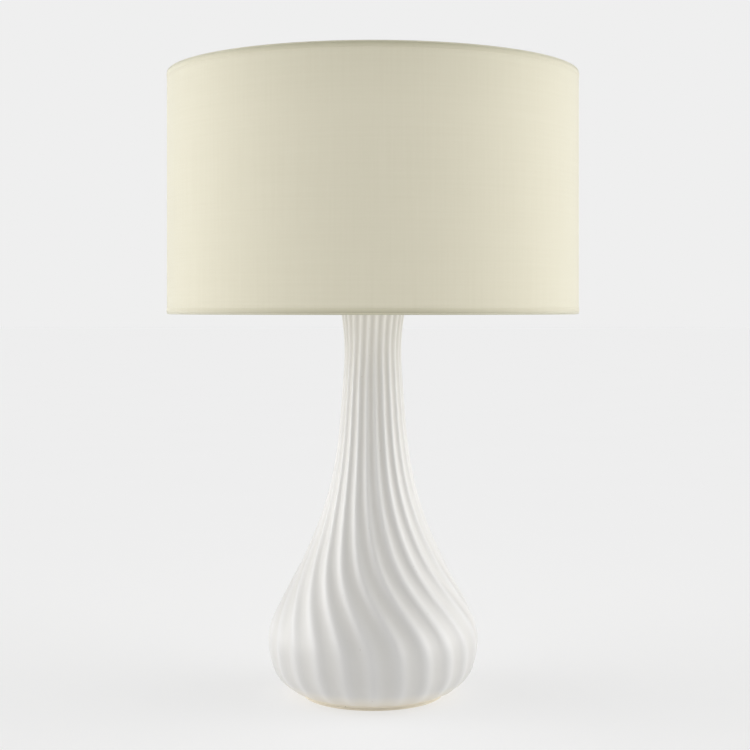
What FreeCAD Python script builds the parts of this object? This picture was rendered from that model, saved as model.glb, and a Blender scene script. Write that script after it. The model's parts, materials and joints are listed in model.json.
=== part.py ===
import FreeCAD, Part
import math
import os
import Sketcher

# A table lamp with a drum shade, in millimetres: a fluted ceramic jar whose flutes twist from the foot
# to the neck, a threaded pipe that holds it together, a socket with a turn switch and a bulb, and a harp
# that carries the shade under a finial. The origin is the centre of the felt pad's underside, +Z is up
# and the front of the lamp faces -Y.

SIZES = (
    # the ceramic jar
    ("felt_radius", 69),
    ("felt_thickness", 2),
    ("foot_radius", 69.5),
    ("foot_top", 6),
    ("jar_top", 392),
    ("belly_radius", 103.6),
    ("flute_depth", 2.2),
    ("flute_twist", 46),
    ("jar_wall", 6),
    ("rebate_radius", 61),
    ("ledge_radius", 58),
    ("inlet_height", 40),
    ("inlet_radius", 5),
    ("spot_face_depth", 5.1),
    ("spot_face_rim", 2),
    # the plate, pipe and nuts that clamp it
    ("sheet_metal", 1.2),
    ("plate_rise", 15),
    ("lead_offset", 18),
    ("pipe_radius", 5.1),
    ("pipe_bore", 3.4),
    ("pipe_low", 8),
    ("pipe_high", 412),
    ("pipe_clearance", 0.2),
    ("thread_pitch", 0.94),
    ("thread_depth", 0.45),
    ("nut_flats", 16),
    ("nut_thickness", 5),
    ("jam_nut_thickness", 3.8),
    ("cap_radius", 36.5),
    ("cap_crown", 6),
    # the socket and its switch
    ("socket_radius", 16),
    ("socket_height", 55),
    ("switch_rise", 27),
    ("shaft_radius", 2.5),
    ("screw_radius", 13),
    ("screw_pitch", 3.629),
    ("screw_wave", 0.25),
    ("screw_low", 35),
    # the bulb
    ("base_radius", 12.3),
    ("base_top", 25),
    ("tip_radius", 4.6),
    ("bulb_low", 38.2),
    ("globe_radius", 30),
    ("globe_middle", 75),
    ("globe_edge", 62),
    ("globe_wall", 1.2),
    # the harp
    ("wire_radius", 1.6),
    ("leg_spacing", 31.4),
    ("leg_width", 6.5),
    ("leg_thickness", 2),
    ("ear_top", 19),
    ("shoulder", 5.7),
    ("sleeve_bore", 3.85),
    ("sleeve_length", 12),
    ("harp_half_width", 56),
    ("harp_wide", 500),
    ("harp_apex", 594),
    ("harp_top_bend", 35),
    ("stud_radius", 3.175),
    ("stud_flange", 9),
    ("stud_seat", 4.7),
    # the shade
    ("shade_radius", 202.7),
    ("shade_low", 375.6),
    ("shade_height", 236.5),
    ("cloth", 0.4),
    ("frame_radius", 200.2),
    ("hem_outside", 6),
    ("hem_inside", 12),
    ("hub_radius", 16),
    ("hub_thickness", 1.5),
    ("finial_ball", 9),
    ("finial_neck", 5.9),
    ("face_gap", 0.1),
)

FLUTES = 24
POINTS_PER_FLUTE = 6
CREST_SHARPNESS = 0.12

# The rings of the jar's outside: height as a share of jar_top, crest radius as a share of belly_radius,
# turn as a share of flute_twist, and flute depth as a share of flute_depth.
JAR_RINGS = (
    (0.014, 0.742, 1.0, 0.67),
    (0.026, 0.815, 1.0, 0.83),
    (0.043, 0.886, 0.998, 0.83),
    (0.069, 0.953, 0.991, 0.83),
    (0.102, 0.989, 0.978, 0.83),
    (0.143, 1.0, 0.957, 0.83),
    (0.194, 0.956, 0.872, 0.92),
    (0.255, 0.841, 0.687, 1.0),
    (0.332, 0.688, 0.452, 1.0),
    (0.408, 0.556, 0.304, 0.88),
    (0.51, 0.427, 0.176, 0.75),
    (0.638, 0.335, 0.109, 0.63),
    (0.765, 0.293, 0.085, 0.54),
    (0.88, 0.274, 0.109, 0.5),
    (0.959, 0.303, 0.163, 0.5),
    (1.0, 0.328, 0.185, 0.46),
)

doc = FreeCAD.newDocument("table_lamp")
nodes = []


class Size:
    """A number that remembers the sheet expression it came from, so a feature can be bound to it."""

    def __init__(self, value, formula):
        self.value = value
        self.formula = formula

    def __add__(self, other):
        other = as_size(other)
        return Size(self.value + other.value, f"({self.formula} + {other.formula})")

    def __sub__(self, other):
        other = as_size(other)
        return Size(self.value - other.value, f"({self.formula} - {other.formula})")

    def __rsub__(self, other):
        return as_size(other) - self

    def __mul__(self, other):
        other = as_size(other)
        return Size(self.value * other.value, f"({self.formula} * {other.formula})")

    def __truediv__(self, other):
        other = as_size(other)
        return Size(self.value / other.value, f"({self.formula} / {other.formula})")

    def __neg__(self):
        return Size(-self.value, f"(0 - {self.formula})")

    def root(self):
        return Size(math.sqrt(self.value), f"sqrt({self.formula})")

    __radd__ = __add__
    __rmul__ = __mul__


def as_size(number):
    return number if isinstance(number, Size) else Size(float(number), f"({float(number)})")


class Sheet:
    """The driving dimensions, each a cell with an alias and a Size of the same name."""

    def __init__(self, rows):
        self.cells = doc.addObject("Spreadsheet::Sheet", "sizes")
        for row, (alias, value) in enumerate(rows, 1):
            self.cells.set(f"A{row}", str(value))
            self.cells.setAlias(f"A{row}", alias)
            setattr(self, alias, Size(float(value), f"sizes.{alias}"))


S = Sheet(SIZES)
doc.recompute()

# Heights that several sub-parts share.
CROWN = S.jar_top + S.cap_crown
NUT_TOP = CROWN + S.sheet_metal + S.jam_nut_thickness
LEG_TOP = CROWN + S.ear_top + 1
SHADE_TOP = S.shade_low + S.shade_height
HUB_LOW = S.harp_apex + S.stud_seat + S.face_gap
HUB_TOP = HUB_LOW + S.hub_thickness
PIPE_HOLE = S.pipe_radius + S.pipe_clearance

# Turns that lay a sub-part's own Z axis along another way.
TO_FRONT = (FreeCAD.Vector(1, 0, 0), 90)
TO_BACK = (FreeCAD.Vector(1, 0, 0), -90)
TO_RIGHT = (FreeCAD.Vector(0, 1, 0), 90)
TURNED_OVER = (FreeCAD.Vector(0, 1, 0), 180)
ABOUT_Z = FreeCAD.Vector(0, 0, 1)


# ---- features ----------------------------------------------------------------------------------------

def bind(thing, name, size):
    """Set a property, or a constraint, to a number and tie it to the sheet."""
    thing.setExpression(name, as_size(size).formula)


def new_body(label, keep=True):
    body = doc.addObject("PartDesign::Body", label)
    body.Label = label
    body.AllowCompound = True
    if keep:
        nodes.append(body)
    return body


def plane_of(body, role):
    return next(item for item in body.Origin.OriginFeatures if item.Role == role)


def new_sketch(body, role, lift=0):
    plan = body.newObject("Sketcher::SketchObject", f"{body.Name}_sketch")
    plan.AttachmentSupport = [(plane_of(body, role), "")]
    plan.MapMode = "FlatFace"
    bind(plan, "AttachmentOffset.Base.z", lift)
    return plan


def hold(plan, edge, end, corner):
    """Hold one end of an edge at its two distances from the sketch's origin."""
    for kind, axis, size in (("DistanceX", -2, corner[0]), ("DistanceY", -1, corner[1])):
        size = as_size(size)
        if size.value == 0:
            plan.addConstraint(Sketcher.Constraint("PointOnObject", edge, end, axis))
        else:
            index = plan.addConstraint(Sketcher.Constraint(kind, -1, 1, edge, end, size.value))
            bind(plan, f"Constraints[{index}]", size)


def arc_between(start, end, radius):
    """The short arc from start to end, anticlockwise for a positive radius, else clockwise."""
    if radius < 0:
        start, end = end, start
    chord = end - start
    rise = math.sqrt(max(radius * radius - chord.Length ** 2 / 4, 0))
    centre = (start + end) / 2 + FreeCAD.Vector(-chord.y, chord.x, 0) * (rise / chord.Length)
    angles = [math.atan2(point.y - centre.y, point.x - centre.x) for point in (start, end)]
    circle = Part.Circle(centre, FreeCAD.Vector(0, 0, 1), abs(radius))
    return Part.ArcOfCircle(circle, angles[0], angles[1])


def draw(plan, corners, closed=True):
    """Join the corners in turn. A third value bends the edge that follows its corner to that radius."""
    points = [FreeCAD.Vector(as_size(c[0]).value, as_size(c[1]).value, 0) for c in corners]
    count = len(corners) if closed else len(corners) - 1
    ends = []
    for index in range(count):
        start, end = points[index], points[(index + 1) % len(points)]
        if len(corners[index]) == 2:
            edge = plan.addGeometry(Part.LineSegment(start, end))
            ends.append((edge, 1, 2))
        else:
            radius = as_size(corners[index][2])
            edge = plan.addGeometry(arc_between(start, end, radius.value))
            ends.append((edge, 1, 2) if radius.value > 0 else (edge, 2, 1))
            bound = plan.addConstraint(Sketcher.Constraint("Radius", edge, abs(radius.value)))
            bind(plan, f"Constraints[{bound}]", radius if radius.value > 0 else -radius)
    for index in range(count if closed else count - 1):
        edge, _, end = ends[index]
        following, start, _ = ends[(index + 1) % count]
        plan.addConstraint(Sketcher.Constraint("Coincident", edge, end, following, start))
    for corner, (edge, start, _) in zip(corners, ends):
        hold(plan, edge, start, corner)
    if not closed:
        hold(plan, ends[-1][0], ends[-1][2], corners[-1])
    return [edge for edge, _, _ in ends]


def draw_circle(plan, across, up, radius):
    centre = FreeCAD.Vector(as_size(across).value, as_size(up).value, 0)
    circle = Part.Circle(centre, FreeCAD.Vector(0, 0, 1), as_size(radius).value)
    edge = plan.addGeometry(circle)
    hold(plan, edge, 3, (across, up))
    index = plan.addConstraint(Sketcher.Constraint("Radius", edge, as_size(radius).value))
    bind(plan, f"Constraints[{index}]", radius)


def rectangle(left, right, low, high):
    return [(left, low), (right, low), (right, high), (left, high)]


def feature(body, kind, plan, **settings):
    """Add a feature that uses the sketch; numbers are bound to the sheet, other settings are set."""
    made = body.newObject(f"PartDesign::{kind}", f"{body.Name}_{kind.lower()}")
    made.Profile = plan
    for name, value in settings.items():
        if isinstance(value, (Size, float, int)) and not isinstance(value, bool):
            bind(made, name, value)
        else:
            setattr(made, name, value)
    body.Tip = made
    return made


def turned(label, corners, angle=360, keep=True):
    """A body turned about its own Z axis from an outline of radius and height."""
    body = new_body(label, keep)
    plan = new_sketch(body, "XZ_Plane")
    draw(plan, corners)
    feature(body, "Revolution", plan, ReferenceAxis=(plan, ["V_Axis"]), Angle=angle)
    return body


def turned_cut(body, corners):
    """Turn an outline of radius and height out of a body."""
    plan = new_sketch(body, "XZ_Plane")
    draw(plan, corners)
    return feature(body, "Groove", plan, ReferenceAxis=(plan, ["V_Axis"]), Angle=360)


def cut_through(body, role, corners=None, circle=None):
    """Cut an outline or a circle, drawn on an origin plane, right through a body both ways."""
    plan = new_sketch(body, role)
    if corners:
        draw(plan, corners)
    if circle:
        draw_circle(plan, *circle)
    return feature(body, "Pocket", plan, Type="ThroughAll", Midplane=True)


def cut_to_length(body, role, length, reverse, corners=None, circle=None, lift=0):
    """Cut an outline or a circle, drawn on an origin plane, one way and to a length."""
    plan = new_sketch(body, role, lift)
    if corners:
        draw(plan, corners)
    if circle:
        draw_circle(plan, *circle)
    return feature(body, "Pocket", plan, Length=length, Reversed=reverse)


def repeat_around(body, original, count):
    """Repeat a feature evenly about the body's Z axis."""
    pattern = body.newObject("PartDesign::PolarPattern", f"{body.Name}_around")
    pattern.Originals = [original]
    pattern.Axis = (plane_of(body, "Z_Axis"), [""])
    pattern.Angle = 360
    pattern.Occurrences = count
    body.Tip = pattern


def repeat_along(body, original, count, pitch):
    """Repeat a feature up the body's Z axis at a pitch."""
    pattern = body.newObject("PartDesign::LinearPattern", f"{body.Name}_along")
    pattern.Originals = [original]
    pattern.Direction = (plane_of(body, "Z_Axis"), [""])
    bind(pattern, "Length", pitch * (count - 1))
    pattern.Occurrences = count
    body.Tip = pattern


def mirror_across(body, originals, role):
    pattern = body.newObject("PartDesign::Mirrored", f"{body.Name}_mirrored")
    pattern.Originals = originals
    pattern.MirrorPlane = (plane_of(body, role), [""])
    body.Tip = pattern


def sweep_wire(body, start_role, path, radius):
    """A round wire: a circle at the path's start, swept along the path, which is drawn in the XZ plane."""
    across, up = path[0][0], path[0][1]
    lift, centre = (up, (across, 0)) if start_role == "XY_Plane" else (across, (0, up))
    profile = new_sketch(body, start_role, lift)
    draw_circle(profile, centre[0], centre[1], radius)
    spine = new_sketch(body, "XZ_Plane")
    edges = draw(spine, path, closed=False)
    names = [f"Edge{edge + 1}" for edge in edges]
    return feature(body, "AdditivePipe", profile, Spine=(spine, names), Transition="Transformed")


def place(thing, up=0, across=0, back=0, turn=None):
    """Set a sub-part's place, and its turn as an axis and an angle."""
    if turn:
        thing.Placement = FreeCAD.Placement(FreeCAD.Vector(), FreeCAD.Rotation(turn[0], turn[1]))
    for axis, size in (("x", across), ("y", back), ("z", up)):
        bind(thing, f"Placement.Base.{axis}", size)
    return thing


# ---- the ceramic jar and what closes its foot --------------------------------------------------------

def felt_pad():
    return turned("felt_pad", rectangle(0, S.felt_radius, 0, S.felt_thickness))


def flute_edge(height, radius, turn, depth, flute):
    """One flute of one ring of the jar, from valley to valley over its crest."""
    width = 2 * math.pi / FLUTES
    start = math.radians(turn - 90) + width * (flute - 0.5)
    points = []
    for step in range(POINTS_PER_FLUTE + 1):
        share = step / POINTS_PER_FLUTE
        wave = 2 * math.pi * (share - 0.5)
        dip = 1 + CREST_SHARPNESS - math.cos(wave) - CREST_SHARPNESS * math.cos(2 * wave)
        reach = radius - depth * dip / 2
        angle = start + width * share
        points.append(FreeCAD.Vector(reach * math.cos(angle), reach * math.sin(angle), height))
    tangents = [FreeCAD.Vector(-math.sin(a), math.cos(a), 0) for a in (start, start + width)]
    curve = Part.BSplineCurve()
    curve.interpolate(Points=points, InitialTangent=tangents[0], FinalTangent=tangents[1])
    return curve.toShape()


def fluted_outside():
    """The jar's outside, lofted through its fluted rings."""
    wires = []
    for height, radius, turn, depth in JAR_RINGS:
        ring = (height * S.jar_top.value, radius * S.belly_radius.value,
                turn * S.flute_twist.value, depth * S.flute_depth.value)
        wires.append(Part.Wire([flute_edge(*ring, flute) for flute in range(FLUTES)]))
    jar = doc.addObject("Part::Feature", "jar_outside")
    jar.Shape = Part.makeLoft(wires, True, False)
    return jar


def jar_hollow():
    """The space inside the jar: it follows the outside a wall's thickness in, down to the open foot."""
    corners = [(0, 1), (S.rebate_radius, 1), (S.rebate_radius, S.foot_top), (S.ledge_radius, S.foot_top)]
    corners.append((S.ledge_radius, S.foot_top + 2))
    for height, radius, _, depth in JAR_RINGS[2:]:
        reach = S.belly_radius * radius - S.flute_depth * depth - S.jar_wall
        corners.append((reach, S.jar_top * height))
    corners.append((corners[-1][0], S.jar_top + 1))
    corners.append((0, S.jar_top + 1))
    return turned("jar_hollow", corners, keep=False)


def cylinder(label, radius, length):
    shape = doc.addObject("Part::Cylinder", label)
    bind(shape, "Radius", radius)
    bind(shape, "Height", length)
    return shape


def spot_face():
    """How far out the flat round the cord's hole lies."""
    return S.belly_radius - S.spot_face_depth


def ceramic_body():
    foot = cylinder("jar_foot", S.foot_radius, S.foot_top - S.felt_thickness)
    place(foot, up=S.felt_thickness)
    outside = doc.addObject("Part::Fuse", "jar_solid")
    outside.Base = fluted_outside()
    outside.Tool = foot
    reach = S.jar_wall * 3
    inlet = cylinder("inlet_hole", S.inlet_radius, reach * 2)
    place(inlet, up=S.inlet_height, back=spot_face() - reach, turn=TO_BACK)
    face = cylinder("inlet_face", S.inlet_radius + S.spot_face_rim, reach)
    place(face, up=S.inlet_height, back=spot_face(), turn=TO_BACK)
    spaces = doc.addObject("Part::MultiFuse", "jar_spaces")
    spaces.Shapes = [jar_hollow(), inlet, face]
    jar = doc.addObject("Part::Cut", "ceramic_body")
    jar.Base = outside
    jar.Tool = spaces
    nodes.append(jar)


def cord_bushing():
    """The insulating bush in the cord's hole, with its flange in the spot face."""
    bore, barrel = S.pipe_bore, S.inlet_radius - S.face_gap
    flange, rim = S.inlet_radius + 0.9, S.inlet_radius + 1.7
    corners = [
        (bore, -S.jar_wall), (barrel, -S.jar_wall), (barrel, 0), (rim, 0),
        (rim, 1), (flange, 1.8), (bore, 1.8),
    ]
    place(turned("cord_bushing", corners), up=S.inlet_height, back=spot_face(), turn=TO_BACK)


def bottom_gasket():
    ring = rectangle(S.rebate_radius - 5.5, S.rebate_radius - 0.5, 0, 1)
    place(turned("bottom_gasket", ring), up=S.foot_top - 1)


def plate_low():
    """The height of the plate's rim, under the gasket."""
    return S.foot_top - 1 - S.sheet_metal


def bottom_plate():
    """A dished plate: a flat rim under the jar's ledge and a raised middle for the nut."""
    rim, dish, middle = S.rebate_radius - 0.5, S.rebate_radius - 9, S.rebate_radius - 34
    top = S.plate_rise + S.sheet_metal
    corners = [
        (PIPE_HOLE, S.plate_rise), (middle, S.plate_rise), (dish, 0), (rim, 0),
        (rim, S.sheet_metal), (dish, S.sheet_metal), (middle, top), (PIPE_HOLE, top),
    ]
    body = turned("bottom_plate", corners)
    cut_through(body, "XY_Plane", circle=(0, S.lead_offset, S.inlet_radius))
    place(body, up=plate_low())


def plate_bushing():
    """The grommet in the plate's lead hole."""
    barrel, flange, lip = S.inlet_radius - S.face_gap, S.inlet_radius + 1.5, 1.2
    corners = [
        (S.pipe_bore, -lip), (flange, -lip), (flange, 0), (barrel, 0), (barrel, S.sheet_metal),
        (flange, S.sheet_metal), (flange, S.sheet_metal + lip), (S.pipe_bore, S.sheet_metal + lip),
    ]
    place(turned("plate_bushing", corners), up=plate_low() + S.plate_rise, back=S.lead_offset)


def bottom_lock_washer():
    body = turned("bottom_lock_washer", rectangle(PIPE_HOLE, S.nut_flats / 2 + 1.2, 0, S.sheet_metal))
    notch = cut_through(body, "XY_Plane", corners=rectangle(S.nut_flats / 2, S.nut_flats, -0.6, 0.6))
    repeat_around(body, notch, 10)
    place(body, up=plate_low() + S.plate_rise - S.sheet_metal)


def hex_nut(label, thickness, up):
    """A chamfered blank with six flats cut on it."""
    corner = S.nut_flats * 0.577
    corners = [
        (PIPE_HOLE, 0), (corner - 1, 0), (corner, 0.7),
        (corner, thickness - 0.7), (corner - 1, thickness), (PIPE_HOLE, thickness),
    ]
    body = turned(label, corners)
    flat = cut_through(body, "XY_Plane", corners=rectangle(S.nut_flats / 2, S.nut_flats, -12, 12))
    repeat_around(body, flat, 6)
    place(body, up=up)


def thread_groove(body, radius, height, turns):
    """Ring grooves at the thread's pitch, cut from a height upward."""
    tooth, outside = S.thread_pitch * 0.45, radius + 0.5
    corners = [(outside, height - tooth), (outside, height + tooth), (radius - S.thread_depth, height)]
    repeat_along(body, turned_cut(body, corners), turns, S.thread_pitch)


def lamp_pipe():
    length = S.pipe_high - S.pipe_low
    corners = [
        (S.pipe_bore, 0), (S.pipe_radius - 0.6, 0), (S.pipe_radius, 0.6),
        (S.pipe_radius, length - 0.6), (S.pipe_radius - 0.6, length), (S.pipe_bore, length),
    ]
    body = turned("lamp_pipe", corners)
    thread_groove(body, S.pipe_radius, 1.5, 16)
    thread_groove(body, S.pipe_radius, length - 18, 17)
    place(body, up=S.pipe_low)


def pipe_end_bushing():
    bore, plug = S.pipe_bore - 0.8, S.pipe_bore - 0.05
    corners = [(bore, -1.5), (S.pipe_radius, -1.5), (S.pipe_radius, 0), (plug, 0), (plug, 5), (bore, 5)]
    place(turned("pipe_end_bushing", corners), up=S.pipe_low)


# ---- the neck: washer, cap, saddle and nut -----------------------------------------------------------

def neck_washer():
    place(turned("neck_washer", rectangle(S.cap_radius - 12.5, S.cap_radius - 4.5, 0, 1)), up=S.jar_top)


def neck_cap():
    """A spun brass cap: a skirt round the jar's lip, a flat top and a low dome for the saddle."""
    skin = S.sheet_metal
    crown, flat = S.cap_crown, 1 + S.sheet_metal
    inside = S.cap_radius - skin
    corners = [
        (PIPE_HOLE, crown - skin), (8, crown - skin, -3), (10, crown - skin - 1.5), (14, 1), (inside, 1),
        (inside, -6), (S.cap_radius, -6), (S.cap_radius, flat - 2, 2), (S.cap_radius - 2, flat),
        (14.6, flat), (10.8, crown - 1.3, 2.5), (9, crown), (PIPE_HOLE, crown),
    ]
    place(turned("neck_cap", corners), up=S.jar_top)


def harp_saddle():
    """A strap bent up at both ends, with a narrow ear above each shoulder for a harp leg and its sleeve."""
    inner = S.leg_spacing - S.leg_thickness / 2 - 0.2 - S.sheet_metal
    outer = inner + S.sheet_metal
    bend = 2.4
    corners = [
        (-outer, bend, bend), (-outer + bend, 0), (outer - bend, 0, bend), (outer, bend),
        (outer, S.ear_top), (inner, S.ear_top), (inner, bend, S.sheet_metal - bend),
        (outer - bend, S.sheet_metal), (-outer + bend, S.sheet_metal, S.sheet_metal - bend),
        (-inner, bend), (-inner, S.ear_top), (-outer, S.ear_top),
    ]
    body = new_body("harp_saddle")
    plan = new_sketch(body, "XZ_Plane")
    draw(plan, corners)
    feature(body, "Pad", plan, Length=19, Midplane=True)
    half = S.leg_width / 2
    cut_through(body, "YZ_Plane", corners=rectangle(half, 12, S.shoulder, S.ear_top + 1))
    cut_through(body, "YZ_Plane", corners=rectangle(-12, -half, S.shoulder, S.ear_top + 1))
    cut_through(body, "XY_Plane", circle=(0, 0, PIPE_HOLE))
    place(body, up=CROWN)


# ---- the socket and its switch -----------------------------------------------------------------------

def socket_cap():
    """A brass cup on a threaded hub, with a side hole for its set screw."""
    cup = S.socket_radius + 1
    lip = 21
    corners = [
        (PIPE_HOLE, 0), (7, 0), (7, 4.5, -3), (9, 7.2), (cup - 3, 9.5, 3.5), (cup, 13), (cup, lip),
        (cup - 0.8, lip), (cup - 0.8, 13.2, -2.8), (cup - 3.4, 10.4), (8.8, 8.1), (PIPE_HOLE, 6.5),
    ]
    body = turned("socket_cap", corners)
    cut_to_length(body, "YZ_Plane", 12, True, circle=(0, 2.4, 1.6))
    place(body, up=NUT_TOP)


def socket_set_screw():
    """The slotted screw that stops the socket turning on the pipe."""
    tip = S.pipe_radius + 0.05
    corners = [(0, tip), (1.5, tip), (1.5, 8), (3, 8), (3, 9.2), (2.5, 9.8), (0, 9.8)]
    body = turned("socket_set_screw", corners)
    cut_to_length(body, "XY_Plane", 2, False, corners=rectangle(-4, 4, -0.4, 0.4), lift=11)
    place(body, up=NUT_TOP + 2.4, turn=TO_RIGHT)


def cut_shaft_hole(body, radius):
    """The hole in the front of a socket piece that the switch's shaft comes out of."""
    cut_to_length(body, "XZ_Plane", S.socket_radius + 5, True, circle=(0, S.switch_rise, radius))


def socket_shell():
    """The thin brass shell, with a rolled bead near its mouth."""
    inner, outer, top = S.socket_radius - 0.5, S.socket_radius, S.socket_height
    bead = [
        (outer, top - 9), (outer + 0.6, top - 8.4, 1), (outer + 0.6, top - 7.4), (outer, top - 6.8),
    ]
    body = turned("socket_shell", [(inner, 17), (outer, 17)] + bead + [(outer, top), (inner, top)])
    cut_shaft_hole(body, 4)
    place(body, up=NUT_TOP)


def socket_insulator():
    """The card sleeve between the shell and the live parts."""
    outer = S.socket_radius - 0.6
    body = turned("socket_insulator", rectangle(outer - 0.5, outer, 18, S.socket_height - 1))
    cut_shaft_hole(body, 4.5)
    place(body, up=NUT_TOP)


def switch_body():
    """The moulded block that holds the switch, with holes for its shaft and two terminal screws."""
    side, top, floor = S.socket_radius - 1.2, S.screw_low, S.screw_low - 1
    corners = [(0, 16), (side - 3, 16), (side, 19), (side, top), (7.9, top), (7.9, floor), (0, floor)]
    body = turned("switch_body", corners)
    cut_shaft_hole(body, S.shaft_radius + 0.05)
    for side_of in (-1, 1):
        cut_to_length(body, "XY_Plane", 6, True, circle=(8 * side_of, 0, 1.6), lift=16)
    place(body, up=NUT_TOP)


def terminal_screws():
    """Two identical screws under the switch block."""
    corners = [(0, -1.8), (2.2, -1.8), (2.8, -1.2), (2.8, 0), (1.5, 0), (1.5, 5.5), (0, 5.5)]
    screws = []
    for name, across in (("left", -8), ("right", 8)):
        screw = turned(f"terminal_screw_{name}", corners, keep=False)
        screws.append(place(screw, up=NUT_TOP + 16, across=across))
    pair = doc.addObject("Part::Compound", "terminal_screws")
    pair.Links = screws
    nodes.append(pair)


def thread_wave(radius, low, turns, outward):
    """The corners of a rolled thread's side, as alternate outward and inward arcs up the axis."""
    half = S.screw_pitch / 2
    bend = (half * half / 4 + S.screw_wave * S.screw_wave) / (S.screw_wave * 2)
    corners = []
    for step in range(2 * turns):
        sign = 1 if (step % 2 == 0) == outward else -1
        corners.append((radius, low + half * step, bend if sign > 0 else -bend))
    return corners


def running_down(corners, last):
    """The same edges walked from the top down, starting at the last point."""
    points = [corner[:2] for corner in corners] + [last]
    bends = [corner[2] for corner in corners]
    back = [(*points[index + 1], -bends[index]) for index in range(len(corners) - 1, -1, -1)]
    return back + [points[0]]


def screw_shell():
    """The rolled brass thread that the bulb screws into, with a floor round the centre contact."""
    turns = 5
    low = S.screw_low + 0.6
    top = low + S.screw_pitch * turns
    outside = thread_wave(S.screw_radius + 0.4, low, turns, True)
    inside = running_down(thread_wave(S.screw_radius, low, turns, True), (S.screw_radius, top))
    corners = [(8, S.screw_low), (S.screw_radius + 0.4, S.screw_low)] + outside
    corners += [(S.screw_radius + 0.4, top)] + inside + [(8, S.screw_low + 0.6)]
    place(turned("screw_shell", corners), up=NUT_TOP)


def centre_contact():
    """A bent spring strip that meets the bulb's tip."""
    skin = 0.5
    rise = 2.3
    corners = [
        (-7, 0), (-4, 0), (-1.5, rise), (3, rise),
        (3, rise + skin), (-1.8, rise + skin), (-4.3, skin), (-7, skin),
    ]
    body = new_body("centre_contact")
    plan = new_sketch(body, "XZ_Plane")
    draw(plan, corners)
    feature(body, "Pad", plan, Length=5, Midplane=True)
    place(body, up=NUT_TOP + S.screw_low - 1)


def switch_shaft():
    reach, side, bevel = S.socket_radius + 12, S.shaft_radius, 0.5
    corners = [(0, 1), (side, 1), (side, reach - bevel), (side - bevel, reach), (0, reach)]
    place(turned("switch_shaft", corners), up=NUT_TOP + S.switch_rise, turn=TO_FRONT)


def turn_knob():
    """A ribbed knob fixed on the shaft's end."""
    low, high = S.socket_radius + 2, S.socket_radius + 15
    corners = [
        (S.shaft_radius, low), (4, low), (4, low + 3), (6, low + 4.5), (6, high - 1.5, 1.5), (4.5, high),
        (0, high), (0, high - 3), (S.shaft_radius, high - 3),
    ]
    body = turned("turn_knob", corners)
    rib = cut_to_length(body, "XY_Plane", 9, True, circle=(6.3, 0, 0.8), lift=low + 4)
    repeat_around(body, rib, 14)
    place(body, up=NUT_TOP + S.switch_rise, turn=TO_FRONT)


# ---- the bulb ----------------------------------------------------------------------------------------

def place_bulb(body):
    place(body, up=NUT_TOP + S.bulb_low)


def bulb_tip_contact():
    side = S.tip_radius
    place_bulb(turned("bulb_tip_contact", [(0, 0), (2.5, 0), (side, 1.2), (side, 2), (0, 2)]))


def bulb_insulator():
    """The black glass cone between the tip and the screw base."""
    bore, side = S.tip_radius + 0.05, S.base_radius - 1
    corners = [(bore, 0.9), (6, 0.9), (side, 4.6), (side, 6), (0, 6), (0, 2.1), (bore, 2.1)]
    place_bulb(turned("bulb_insulator", corners))


def bulb_screw_base():
    """The rolled screw base, open at both ends, with a plain collar at its top."""
    turns = 4
    skin = 0.4
    low = 5.6
    top = low + S.screw_pitch * turns
    inner = S.base_radius - skin
    collar = S.base_radius + 0.6
    outside = thread_wave(S.base_radius, low, turns, True)
    inside = running_down(thread_wave(inner, low, turns, True), (inner, top))
    mouth = S.base_radius - 0.95
    corners = [(mouth, low - 0.9)] + outside
    corners += [(S.base_radius, top), (collar, top + 0.8), (collar, S.base_top), (collar - skin, S.base_top)]
    corners += [(collar - skin, top + 1)] + inside + [(mouth, low - 0.5)]
    place_bulb(turned("bulb_screw_base", corners))


def globe_rim(radius):
    """The radius at which a sphere of the globe meets the housing's edge."""
    drop = S.globe_middle - S.globe_edge
    return (radius * radius - drop * drop).root()


def bulb_housing():
    """The flared body between the screw base and the globe."""
    stem = S.base_radius + 0.15
    rim = globe_rim(S.globe_radius)
    edge = S.globe_edge
    inner, lip, top = stem - 1.5, stem + 0.6, S.base_top
    corners = [
        (inner, 21.6), (stem, 21.6), (stem, top), (lip, top), (lip, top + 1, -60),
        (21, 47, 40), (rim, edge), (rim - 1.4, edge), (19.6, 47.5, 60), (inner, top + 2),
    ]
    place_bulb(turned("bulb_housing", corners))


def bulb_led_board():
    """A round board with a ring of small light chips."""
    low = S.globe_edge - 3
    body = turned("bulb_led_board", rectangle(0, globe_rim(S.globe_radius) - 2.75, 0, 1.2))
    plan = new_sketch(body, "XY_Plane", 1.2)
    draw(plan, rectangle(13, 16, -1.5, 1.5))
    chip = feature(body, "Pad", plan, Length=0.8)
    repeat_around(body, chip, 9)
    place(body, up=NUT_TOP + S.bulb_low + low)


def bulb_diffuser():
    """The globe: a hollow ball cut off where it meets the housing."""
    outer, inner = S.globe_radius, S.globe_radius - S.globe_wall
    middle, edge = S.globe_middle, S.globe_edge
    corners = [
        (globe_rim(inner), edge), (globe_rim(outer), edge, outer), (outer, middle, outer),
        (0, middle + outer), (0, middle + inner, -inner), (inner, middle, -inner),
    ]
    place_bulb(turned("bulb_diffuser", corners))


# ---- the harp ----------------------------------------------------------------------------------------

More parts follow.
